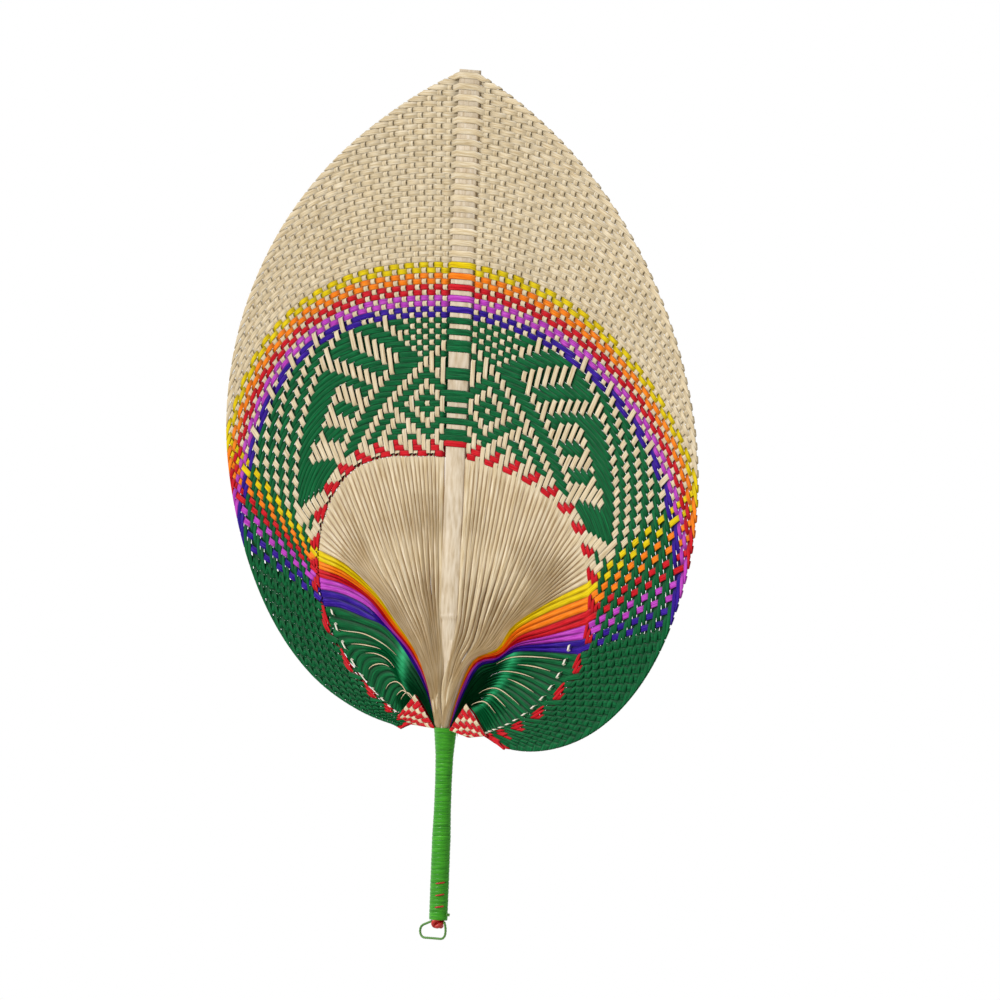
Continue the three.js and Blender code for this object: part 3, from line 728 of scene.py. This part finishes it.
def tube_faces(start, rings, sides):
    """Faces between rings of points that follow one another, with a cap at each end."""
    faces = []
    for ring in range(rings - 1):
        for side in range(sides):
            a, b = start + ring * sides + side, start + ring * sides + (side + 1) % sides
            faces.append((a, b, b + sides, a + sides))
    faces.append(tuple(start + side for side in reversed(range(sides))))
    faces.append(tuple(start + (rings - 1) * sides + side for side in range(sides)))
    return faces


# Painted shade at a strip's edges: the least share of painted shade there
EDGE_SHADE = 0.45


def under_shade_share(depth, facing, proud):
    """How far a place of a strip lies below the face that it shows, from 0 to 1, used as its share of
    painted shade; the edges always get some painted shade.
    """
    below = depth - level(True) if facing * proud < 0 else level(False) - depth
    share = min(max(below / (2 * CROSSING_HALF), 0), 1)
    return max(share, EDGE_SHADE) if proud == 0 else share


def ribbon_mesh(name, ribbons, thickness=STRIP_THICKNESS, section=SECTION, woven=True):
    points, faces, marks, pleat_shades, sunk, undersides_and_highlights = [], [], [], [], [], []
    start = 0
    for tint, ribbon in enumerate(ribbons):
        centres = np.array([row[0] for row in ribbon.rows])
        halves = np.array([row[1] for row in ribbon.rows])
        facings = np.array([row[2] for row in ribbon.rows])
        table = np.array([row[3:] for row in ribbon.rows], float)
        ridges, pleat_shading, painted_shade, underside_and_highlight = (table[:, i : i + 1] for i in range(4))
        count = len(centres)
        run = run_lengths(centres)
        for across, proud in section:
            lift = thickness * proud - ridges * (1 - abs(across))
            points.append(centres + halves * across + facings * lift)
            marks.append(np.column_stack([run, np.full(count, across), np.full(count, tint)]))
            # Painted shade in the pleats' valleys
            pleat_shades.append(pleat_shading)
            # Painted shade where the strip passes under another and at its edges, none on pleated rows or
            # on the slat, plus any further painted shade
            places = [under_shade_share(c[1], f[1], proud) for c, f in zip(centres, facings)]
            sunk.append(np.array(places)[:, None] * (pleat_shading == 0) * woven + painted_shade)
            # How strongly a sharp bend is painted: partly a paler underside, partly painted highlight
            undersides_and_highlights.append(underside_and_highlight)
        sides = len(section)
        for side in range(sides):
            a = start + side * count
            b = start + (side + 1) % sides * count
            faces += [(a + i, b + i, b + i + 1, a + i + 1) for i in range(count - 1)]
        faces.append(tuple(start + side * count for side in reversed(range(sides))))
        faces.append(tuple(start + side * count + count - 1 for side in range(sides)))
        start += sides * count
    shares = {"pleat_shade": np.vstack(pleat_shades), "sunk": np.vstack(sunk), "underside_and_highlight": np.vstack(undersides_and_highlights)}
    return mesh_object(name, np.vstack(points), faces, np.vstack(marks), shares)


# Materials


class Shading:
    """The nodes of a material or world."""

    def __init__(self, owner):
        owner.use_nodes = True
        self.nodes, self.links = owner.node_tree.nodes, owner.node_tree.links

    def add(self, kind, *values, **settings):
        """Adds a node. Its inputs, in their order, are linked to sockets or set to values."""
        node = self.nodes.new(kind)
        for name, value in settings.items():
            setattr(node, name, value)
        for socket, value in zip(node.inputs, values):
            if isinstance(value, bpy.types.NodeSocket):
                self.links.new(value, socket)
            else:
                socket.default_value = value
        return node.outputs

    def ramp(self, source, stops):
        outputs = self.add("ShaderNodeValToRGB", source)
        elements = self.nodes[-1].color_ramp.elements
        while len(elements) < len(stops):
            elements.new(0.5)
        for element, (at, value) in zip(elements, stops):
            element.position = at
            element.color = value
        return outputs[0]


def grey(value):
    return (value, value, value, 1)


TINT_STEP = 13.7
# Painted shade in the pleats' valleys grows with this power of the distance from a strip's middle
VALLEY_SHADE_CURVE = 2.2
# Painted shade: how much darker a strip is painted half-way below the face that shows, and at its lowest
HALF_SUNK_SHADE = 0.38
FULL_SUNK_SHADE = 0.72
BUMP_STRENGTH = 0.35
BUMP_DISTANCE = 0.0001


def strip_material(name, colour, roughness, gloss=0.5, under_shade_strength=0.5):
    """A fibrous strip with painted shade between pleats, at its edges and where it passes under, and at
    sharp bends a paler underside and painted highlight.
    """
    base, shade, light, valley_shade_colour, *underside_and_highlight_colours = (linear(c) for c in COLOURS[colour])
    material = bpy.data.materials.new(name)
    shading = Shading(material)
    add, ramp = shading.add, shading.ramp
    shader = shading.nodes["Principled BSDF"]
    marks = add("ShaderNodeAttribute", attribute_name="strip")["Vector"]

    def noise(along, across, detail, offset):
        scale = (along, across, TINT_STEP)
        place = add("ShaderNodeVectorMath", marks, scale, (offset, 0, 0), operation="MULTIPLY_ADD")[0]
        add("ShaderNodeTexNoise", place)
        texture = shading.nodes[-1]
        texture.inputs["Scale"].default_value = 1
        texture.inputs["Detail"].default_value = detail
        return texture.outputs[0]

    def share(label):
        return add("ShaderNodeAttribute", attribute_name=label)["Fac"]

    def multiplied(first, second):
        return add("ShaderNodeMixRGB", 1, first, second, blend_type="MULTIPLY")[0]

    grain = ramp(noise(0.12, 3.2, 4, 0), [(0.25, shade), (0.48, base), (0.75, light)])
    patches = ramp(noise(0.03, 0.2, 2, 50), [(0.3, grey(0.86)), (0.7, grey(1.06))])
    across = add("ShaderNodeSeparateXYZ", marks)[1]
    aside = add("ShaderNodeMath", across, operation="ABSOLUTE")[0]
    # Painted shade deep in the pleats' valleys, stronger towards a strip's edges
    curved = add("ShaderNodeMath", aside, VALLEY_SHADE_CURVE, operation="POWER")[0]
    deep = add("ShaderNodeMath", curved, share("pleat_shade"), operation="MULTIPLY")[0]
    valley_shaded = add("ShaderNodeMixRGB", deep, multiplied(grain, patches), valley_shade_colour)[0]
    # Painted shade where the strip passes under another, at its edges and on a lobe's strips past their
    # bend
    stops = [(0, grey(1)), (0.5, grey(1 - HALF_SUNK_SHADE * under_shade_strength)), (1, grey(1 - FULL_SUNK_SHADE * under_shade_strength))]
    body = multiplied(valley_shaded, ramp(share("sunk"), stops))
    # At a sharp bend: partly a paler underside, partly painted highlight
    if underside_and_highlight_colours:
        body = add("ShaderNodeMixRGB", share("underside_and_highlight"), body, underside_and_highlight_colours[0])[0]
    shading.links.new(body, shader.inputs["Base Color"])
    bump = shading.nodes.new("ShaderNodeBump")
    bump.inputs["Strength"].default_value = BUMP_STRENGTH
    bump.inputs["Distance"].default_value = BUMP_DISTANCE
    shading.links.new(noise(0.2, 7, 3, 20), bump.inputs["Height"])
    shading.links.new(bump.outputs[0], shader.inputs["Normal"])
    shader.inputs["Roughness"].default_value = roughness
    shader.inputs["Specular IOR Level"].default_value = gloss
    return material


# Camera, light and floor

# Degrees to the right, up and rolled, the picture's width, how far its middle lies right of the
# neck point and above it, and the camera's distance, in metres
CAMERA_TURNS = (46.9, 2.35, 2.17)
PICTURE_WIDTH = 0.4367
PICTURE_SHIFT = (0.02358, 0.09389)
CAMERA_DISTANCE = 1.2
AMBIENT = 0.42
SUN_STRENGTH = 2.2
SUN_SPREAD = 8
SUN_FROM = (-0.45, -0.75, 0.48)
FLOOR_HALF = 3
FLOOR_HEIGHT = -0.085


def set_camera():
    """At the photograph's angle: the picture shows the blade narrowed to 0.68 of its width."""
    azimuth, rise, roll = (math.radians(a) for a in CAMERA_TURNS)
    across = Vector((math.cos(azimuth), math.sin(azimuth), 0))
    back = Vector((math.sin(azimuth), -math.cos(azimuth), 0))
    up = Vector((0, 0, math.cos(rise))) - back * math.sin(rise)
    ahead = -back * math.cos(rise) - Vector((0, 0, math.sin(rise)))
    right = across * math.cos(roll) + up * math.sin(roll)
    top = up * math.cos(roll) - across * math.sin(roll)
    data = bpy.data.cameras.new("camera")
    data.type = "ORTHO"
    data.ortho_scale = PICTURE_WIDTH
    camera = bpy.data.objects.new("camera", data)
    neck = Vector((0, 0, NECK_Z * MM))
    aside, above = PICTURE_SHIFT
    place = neck + right * aside + top * above - ahead * CAMERA_DISTANCE
    turned = Matrix((right, top, -ahead)).transposed().to_4x4()
    camera.matrix_world = Matrix.Translation(place) @ turned
    bpy.context.scene.collection.objects.link(camera)
    bpy.context.scene.camera = camera


def set_world():
    """Even light on the fan, and white wherever the world itself is seen."""
    world = bpy.data.worlds.new("studio")
    shading = Shading(world)
    shading.nodes.clear()
    rays = shading.add("ShaderNodeLightPath")
    seen = rays["Is Camera Ray"]
    for kind in ("Is Transmission Ray", "Is Glossy Ray"):
        seen = shading.add("ShaderNodeMath", seen, rays[kind], operation="MAXIMUM")[0]
    light, white = (shading.add("ShaderNodeBackground", grey(1), strength)[0] for strength in (AMBIENT, 1))
    either = shading.add("ShaderNodeMixShader", seen, light, white)[0]
    shading.add("ShaderNodeOutputWorld", either)
    bpy.context.scene.world = world


def set_sun():
    data = bpy.data.lights.new("sun", "SUN")
    data.energy = SUN_STRENGTH
    data.angle = math.radians(SUN_SPREAD)
    sun = bpy.data.objects.new("sun", data)
    sun.rotation_euler = Vector(SUN_FROM).to_track_quat("Z", "Y").to_euler()
    bpy.context.scene.collection.objects.link(sun)


def set_floor():
    """A pale floor that the camera sees as plain white."""
    mesh = bpy.data.meshes.new("floor")
    low, high = -FLOOR_HALF, FLOOR_HALF
    corners = [(low, low), (high, low), (high, high), (low, high)]
    mesh.from_pydata([(x, y, FLOOR_HEIGHT) for x, y in corners], [], [(0, 1, 2, 3)])
    floor = bpy.data.objects.new("floor", mesh)
    material = bpy.data.materials.new("floor")
    shading = Shading(material)
    shader = shading.nodes["Principled BSDF"]
    shader.inputs["Base Color"].default_value = linear((245, 244, 240))
    shader.inputs["Roughness"].default_value = 0.9
    seen = shading.add("ShaderNodeLightPath")["Is Camera Ray"]
    glow = shading.add("ShaderNodeEmission")[0]
    either = shading.add("ShaderNodeMixShader", seen, shader.outputs[0], glow)[0]
    shading.links.new(either, shading.nodes["Material Output"].inputs["Surface"])
    mesh.materials.append(material)
    bpy.context.scene.collection.objects.link(floor)


# The spine, the handle and what hangs on it

NODE_HEIGHT = 43
NODE_RISE = 0.5
NODE_SPREAD = 1.1
NOTCH = 0.9
NOTCH_DROP = 1.5
NOTCH_SPREAD = 1.8
SLAT_FOOT = -8


def spine_slat(material):
    """A split bamboo slat, with a node line and a notch beside it."""
    ribbon = Ribbon()
    tip = BLADE_REACH + SLAT_TIP_RISE
    for start, end, count in ((SLAT_FOOT, 30, 14), (31, 60, 50), (64, tip, 60)):
        for height in np.linspace(start, end, count):
            near = math.exp(-(((height - NODE_HEIGHT) / NODE_SPREAD) ** 2))
            dent = NOTCH * math.exp(-(((height - NODE_HEIGHT + NOTCH_DROP) / NOTCH_SPREAD) ** 2))
            half = slat_half(height) - dent / 2
            ribbon.add((dent / 2, 0, NECK_Z + height), (-half, 0, 0), (0, -1 - NODE_RISE * near, 0))
    piece = ribbon_mesh("bamboo_spine", [ribbon], SLAT_THICKNESS, SLAT_SECTION, False)
    finish(piece, material, "fan", "spine", "spine_slat")


PLY_HOLLOW = 0.22


def tube_mesh(name, paths, radius, sides, plies=1, twist=0):
    """Tubes along paths. More than one ply gives a twisted cord."""
    points, faces, marks, start = [], [], [], 0
    for tint, path in enumerate(paths):
        path = np.array(path, float)
        count = len(path)
        ahead = np.gradient(path, axis=0)
        ahead /= np.linalg.norm(ahead, axis=1, keepdims=True)
        run = run_lengths(path)
        side = np.cross(ahead[0], (0.31, 0.9, 0.2))
        radii = radius(run / run[-1]) if callable(radius) else np.full(count, radius)
        for i in range(count):
            side -= ahead[i] * np.dot(side, ahead[i])
            side /= np.linalg.norm(side)
            up = np.cross(ahead[i], side)
            for corner in range(sides):
                angle = corner * 2 * math.pi / sides
                bulge = 1
                if plies > 1:
                    crest = abs(math.cos(plies / 2 * (angle - twist * run[i])))
                    bulge = mix(1 - PLY_HOLLOW, 1, crest)
                spoke = side * math.cos(angle) + up * math.sin(angle)
                points.append(path[i] + spoke * radii[i] * bulge)
                marks.append((run[i], math.cos(angle), tint))
        faces += tube_faces(start, count, sides)
        start += count * sides
    return mesh_object(name, np.array(points), faces, np.array(marks))


WOUND_TURNS = 46
WOUND_STEPS = 32
WOUND_OVERLAP = 1.06
# The tape's section: share of a turn's pitch upwards, and how far below its face
TAPE_PROFILE = [(-0.5, 0.8), (-0.47, 0.14), (-0.25, 0.02), (0.25, 0), (0.47, 0.1), (0.5, 0.8)]


def handle_winding(material):
    """Glossy tape wound from the lower end to the neck, with each turn a little uneven. The first
    and the last turn lie level."""
    draw = random.Random(5)
    pitch = HANDLE_LENGTH / (WOUND_TURNS - 1)
    swell = [draw.uniform(-0.03, 0.05) for _ in range(WOUND_TURNS + 2)]
    rise = [draw.uniform(-0.1, 0.1) for _ in range(WOUND_TURNS + 2)]
    count = WOUND_TURNS * WOUND_STEPS + 1
    points, marks = [], []
    for i in range(count):
        turn = i / WOUND_STEPS
        angle = turn * 2 * math.pi
        whole, part = int(turn), turn % 1
        raised = min(max(turn - 1, 0), WOUND_TURNS - 2)
        proud = mix(swell[whole], swell[whole + 1], part)
        shift = mix(rise[whole], rise[whole + 1], part)
        for high, sunk in TAPE_PROFILE:
            height = HANDLE_BOTTOM + pitch * (raised + 0.5 + high * WOUND_OVERLAP + shift * 0.5)
            a, b = grip_half(height)
            inset = sunk - proud * (1 - abs(high))
            spot = ((a - inset) * math.cos(angle), (b - inset) * math.sin(angle), NECK_Z + height)
            points.append(spot)
            marks.append((angle * a, high * 2, whole))
    faces = tube_faces(0, count, len(TAPE_PROFILE))
    piece = mesh_object("wound_tape", np.array(points), faces, np.array(marks, float))
    finish(piece, material, "fan", "winding", "handle_winding")


THREAD_DIAMETER = 0.6
THREAD_START = 4
THREAD_PITCH = 5.2
THREAD_TURNS = 3
THREAD_STEPS = 48
# The thread shows as stitches at these degrees round the handle, each this far to either side
STITCHES = (125, 305)
STITCH_SPAN = 26
STITCH_SWELL = 0.6
STITCH_CLEAR = 0.22
HIDDEN_CLEAR = -0.9
# Loose ends of thread: how far they lean out, drop and lie back
TAILS = ((1.4, -3.6, 0.2), (2.2, -2.9, -0.5), (0.9, -2.2, 0.5))


def shows_stitch(degrees):
    return any(abs((degrees - middle + 180) % 360 - 180) <= STITCH_SPAN for middle in STITCHES)


def red_thread(material):
    """Thread wound round the handle's lower end, mostly under the tape."""
    path = []
    for i in range(THREAD_TURNS * THREAD_STEPS + 1):
        turn = i / THREAD_STEPS
        angle = math.pi + turn * 2 * math.pi
        height = HANDLE_BOTTOM + THREAD_START + turn * THREAD_PITCH
        a, b = grip_half(height)
        clear = STITCH_CLEAR if shows_stitch(math.degrees(angle)) else HIDDEN_CLEAR
        path.append(((a + clear) * math.cos(angle), (b + clear) * math.sin(angle), NECK_Z + height))
    piece = tube_mesh("red_thread_turns", [path], THREAD_DIAMETER * STITCH_SWELL, 10, 2, 5)
    finish(piece, material, "fan", "red_thread", "red_thread")


def thread_tail(material):
    top = NECK_Z - NECK_RISE
    a = grip_half(-NECK_RISE)[0]
    paths = []
    for lean, drop, back in TAILS:
        route = [(a - 0.4, 0, top - 0.4), (a + 0.4, back / 2, top - 0.2),
                 (a + lean * 0.7, back, top + drop * 0.45), (a + lean, back * 1.4, top + drop)]
        paths.append(spline(route, 14))
    piece = tube_mesh("loose_thread_ends", paths, lambda share: 0.34 * (1.1 - share), 8)
    finish(piece, material, "fan", "thread_tail", "thread_tail")


def knot_path(wide, thick, tall, middle):
    """Three lobes wound twice round the middle, as a tight round knot."""
    path = []
    for t in np.linspace(0, 2 * math.pi, 121):
        around = wide + thick * math.cos(3 * t)
        path.append((around * math.cos(2 * t), around * math.sin(2 * t), tall * math.sin(3 * t)))
    return np.array(path) + np.array(middle)


def end_knot(material):
    low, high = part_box("end_knot")
    middle = (low + high) / 2 / MM + Vector((0, 0, 0.8))
    piece = tube_mesh("tied_end_knot", [knot_path(1.3, 0.8, 1.4, middle)], 1, 14)
    finish(piece, material, "fan", "end_knot", "end_knot")


def loop_knot(material):
    low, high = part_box("loop_knot")
    middle = (low + high) / 2 / MM
    piece = tube_mesh("cord_knot", [knot_path(0.4, 0.24, 0.4, middle)], 0.28, 10)
    finish(piece, material, "fan", "hang_cord", "loop_knot")


# Heights above the handle's lower end, and shares of its girth there
CORE_RINGS = [(1.6, 0.9), (76, 1), (83, 1), (88, 0.7), (95, 0.4), (100, 0.25)]
CORE_RIBS = 18
CORE_STEPS = 90
CORE_INSET = 1.3


def bound_ends(material):
    """The crowded ends of the strips inside the winding and at the neck, as one pleated core."""
    ribs, count = CORE_RIBS, CORE_STEPS
    points, marks = [], []
    for rise, share in CORE_RINGS:
        height = HANDLE_BOTTOM + rise
        a, b = ((half - CORE_INSET) * share for half in grip_half(min(height, -NECK_RISE)))
        for i in range(count):
            angle = i * 2 * math.pi / count
            rib = 1 - 0.05 * (1 + math.cos(ribs * angle))
            x, y = a * rib * math.cos(angle), b * rib * math.sin(angle)
            points.append((x, y, NECK_Z + height))
            marks.append((height, math.cos(ribs * angle), i * ribs // count))
    faces = tube_faces(0, len(CORE_RINGS), count)
    piece = mesh_object("bound_strip_ends", np.array(points), faces, np.array(marks, float))
    finish(piece, material, "fan", "natural_strip", "strip_ends_left", "strip_ends_right")


# The strip woven through a lobe: its share of the ring's reach, its width, the shares of
# TABLE_SPAN between which it runs, and its depth over and under
WEFT_SHARE = 0.88
WEFT_WIDTH = 1.6
WEFT_SPAN_SHARES = {"left": (0.527, 0.945), "right": (0.582, 0.973)}
WEFT_OVER = -1.3
WEFT_UNDER = 1.2


def lobe_weft(side, material):
    """A thin undyed strip woven through the inner runs of a lobe."""
    start, end = (share * TABLE_SPAN for share in WEFT_SPAN_SHARES[side])
    ribbon = Ribbon()
    crossed = [strip for strip in range(STRIP_COUNT) if start < fold_angle(side, strip + 0.5) < end]
    for count, strip in enumerate(reversed(crossed)):
        depth = WEAVE_DEPTH + (WEFT_OVER if count % 2 == 0 else WEFT_UNDER)
        for share in (0.15, 0.85):
            angle = mix(fold_angle(side, strip + 1), fold_angle(side, strip), share)
            reach = WEFT_SHARE * ring_reach(side, angle)
            add_front_section(ribbon, side, angle, reach, WEFT_WIDTH / 2, depth)
    piece = ribbon_mesh(f"lobe_strip_{side}", [ribbon])
    finish(piece, material, "fan", "natural_strip", f"lobe_weft_{side}")


def hang_loop(material):
    route = [(across, 0, NECK_Z + HANDLE_BOTTOM + up) for across, up in LOOP_ROUTE]
    path = spline(route, 150)
    piece = tube_mesh("hanging_cord", [path], CORD_DIAMETER / 2, 12, 2, 2.6)
    finish(piece, material, "hang_loop", "hang_cord", "hang_loop")


# The blade

# Name, colour, slot, first strip and the one past the last, and the nodes that they replace
GROUPS = [
    ("ring", "red", "red_strip", INNER_RING, 2, ["ring_strips"], []),
    ("green", "green", "green_strip", 2, 24, [f"green_strips_{i + 1:02d}" for i in range(11)],
     ["green_gather_left", "green_gather_right"]),
    ("violet", "violet", "violet_strip", 24, 26, ["violet_strips"], []),
    ("magenta", "magenta", "magenta_strip", 26, 28, ["magenta_strips"], []),
    ("red", "red", "red_strip", 28, 30, ["red_strips"], []),
    ("orange", "orange", "orange_strip", 30, 32, ["orange_strips"],
     ["coloured_gather_left", "coloured_gather_right"]),
    ("yellow", "yellow", "yellow_strip", 32, 34, ["yellow_strips"], []),
    ("natural", "natural", "natural_strip", 34, 68, [f"natural_strips_{i + 1:02d}" for i in range(17)],
     ["natural_gather_left", "natural_gather_right"]),
]
# For undyed strips and for dyed ones: gloss, and the strength of the painted shade where strips pass under
GLOSS = (0.25, 0.08)
UNDER_SHADE = (0.45, 1)
# The groups that a corner's two families of strips belong to
CORNER_FAMILIES = {"ring": 0, "natural": 1}


def make_blade():
    for name, colour, slot, first, last, nodes, gathers in GROUPS:
        strips = [whole_strip(strip) for strip in range(first, last)]
        family = CORNER_FAMILIES.get(name)
        if family is not None:
            strips += corner_strips("left")[family] + corner_strips("right")[family]
        if name == "natural":
            strips += pale_lines("left") + pale_lines("right") + neck_folds()
        piece = ribbon_mesh(f"{name}_weave", strips)
        dyed = colour != "natural"
        material = strip_material(f"{name}_strip", colour, 0.45, GLOSS[dyed], UNDER_SHADE[dyed])
        finish(piece, material, "fan", slot, *nodes, *gathers)


bpy.context.scene.view_settings.view_transform = "Standard"
set_camera()
hang_loop(strip_material("cord", "cord", 0.6))
set_world()
set_sun()
set_floor()
make_blade()
spine_slat(strip_material("slat", "spine", 0.45))
natural = bpy.data.materials["natural_strip"]
bound_ends(natural)
for side in SIDES:
    lobe_weft(side, natural)
handle_winding(strip_material("tape", "winding", 0.3, 0.3))
thread = strip_material("thread", "bead", 0.4)
red_thread(thread)
end_knot(thread)
thread_tail(strip_material("tail", "tail", 0.6))
loop_knot(bpy.data.materials["cord"])
